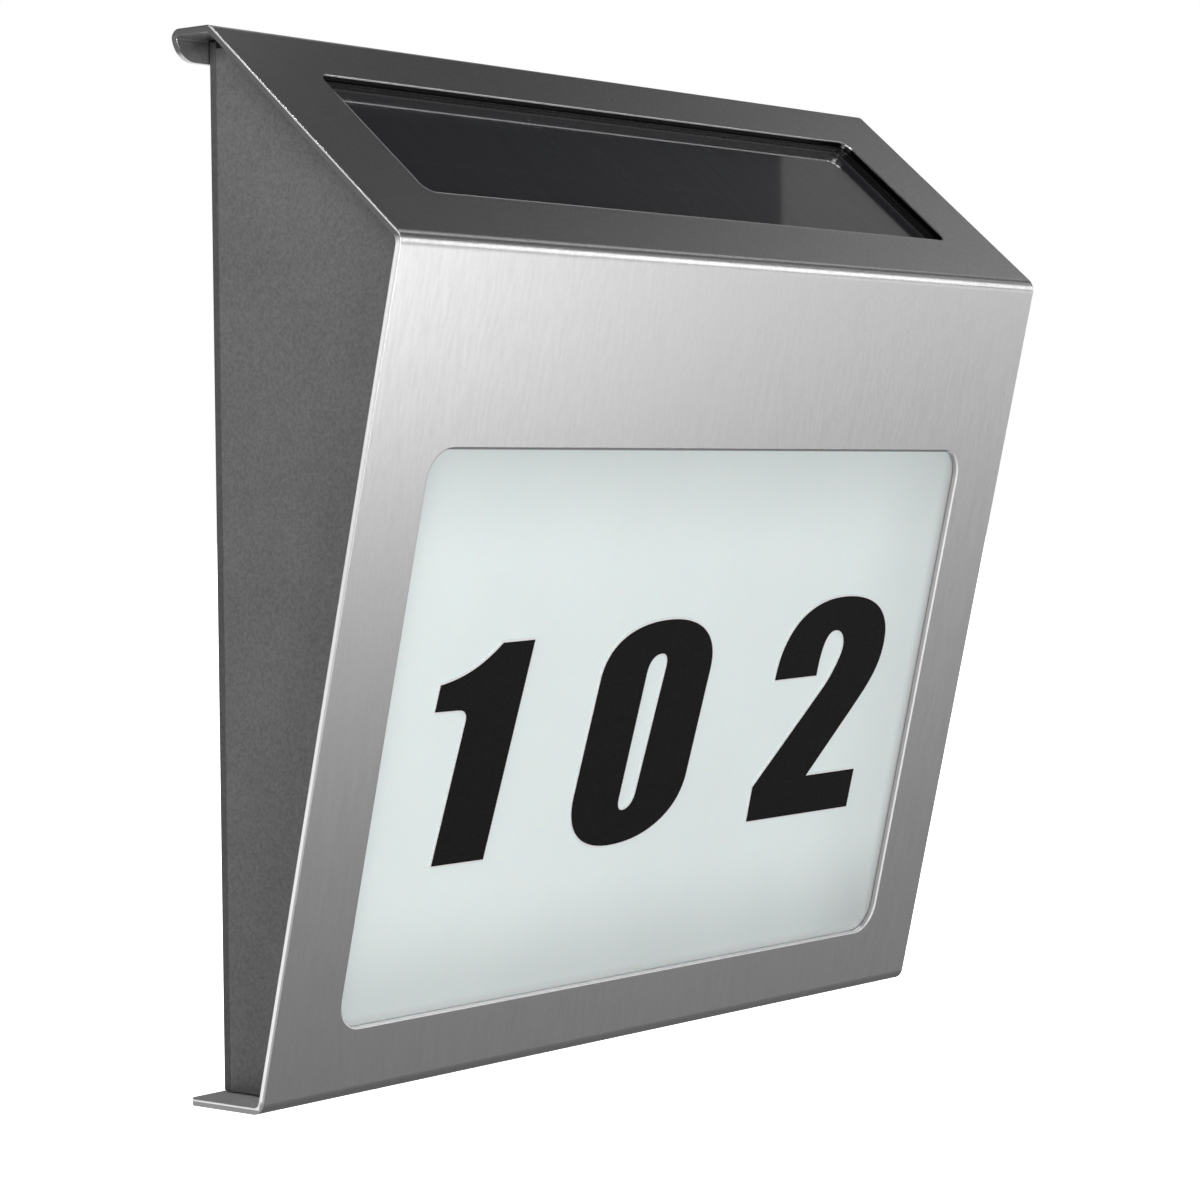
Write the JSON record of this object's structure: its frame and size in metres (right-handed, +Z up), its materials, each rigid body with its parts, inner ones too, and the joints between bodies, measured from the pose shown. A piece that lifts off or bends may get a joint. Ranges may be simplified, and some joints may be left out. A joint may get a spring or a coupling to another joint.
{
  "type": "illuminated house number sign",
  "caption": "Solar wall lamp with a leaning lit number panel under a sloped solar window, in a folded steel cover hung on a wall bracket.",
  "frame": {"origin": "middle of the wall bracket's two screw holes, on the wall plane", "axes": "+X to the viewer's right when facing the sign, +Y into the wall, +Z up"},
  "size_m": [0.2, 0.0537, 0.191],
  "materials": {
    "steel_cover": "brushed, upright grain",
    "housing_grey": "fine-grained moulding",
    "back_grey": "fine-grained moulding",
    "bezel_black": "satin black",
    "solar_glass": "dark cells under clear glass",
    "opal": "opal, even and soft",
    "rubber_black": "soft seal",
    "film_black": "satin film",
    "film_white": "satin film",
    "tray_white": "white reflector",
    "board_white": "white coated board",
    "board_green": "coated board",
    "emitter": "phosphor under resin",
    "component": "moulded parts and cans",
    "switch_black": "moulded",
    "cell_wrap": "shrink wrap",
    "contact_metal": "nickel plated",
    "screw_steel": "plain",
    "bracket_steel": "zinc plated",
    "lead_red": "insulated lead",
    "lead_black": "insulated lead"
  },
  "bodies": {
    "wall_bracket": {"wall_bracket": "bracket_steel"},
    "lamp": {"front_cover": "steel_cover", "housing": "housing_grey", "back_cover": "back_grey", "back_seal": "rubber_black", "wall_bumpers": "rubber_black", "solar_bezel": "bezel_black", "solar_panel": "solar_glass", "solar_seal": "rubber_black", "diffuser": "opal", "diffuser_seal": "rubber_black", "light_box": "tray_white", "led_board": "board_white", "leds": "emitter", "controller_board": "board_green", "board_parts": "component", "switch_body": "switch_black", "battery_cell": "cell_wrap", "battery_contact_plate": "contact_metal", "battery_contact_spring": "contact_metal", "back_cover_screws": "screw_steel", "cover_screws": "screw_steel", "board_screws": "screw_steel", "led_board_screws": "screw_steel", "digit_backings": "film_white", "digit_1": "film_black", "digit_0": "film_black", "digit_2": "film_black", "leads_red": "lead_red", "leads_black": "lead_black"},
    "switch_knob": {"switch_knob": "switch_black"},
    "battery_door": {"battery_door": "back_grey", "battery_door_seal": "rubber_black", "battery_door_fastener": "screw_steel"}
  },
  "joints": [
    {"name": "lift_off", "type": "slide", "parent": "wall_bracket", "child": "lamp", "axis": [0, 0, 1], "range_m": [0, 0.008]},
    {"name": "switch_slide", "type": "slide", "parent": "lamp", "child": "switch_knob", "axis": [1, 0, 0], "range_m": [0, 0.003]},
    {"name": "battery_door_hinge", "type": "hinge", "parent": "lamp", "child": "battery_door", "pos_m": [0, -0.0029, -0.0401], "axis": [-1, 0, 0], "range_deg": [0, 100]}
  ]
}
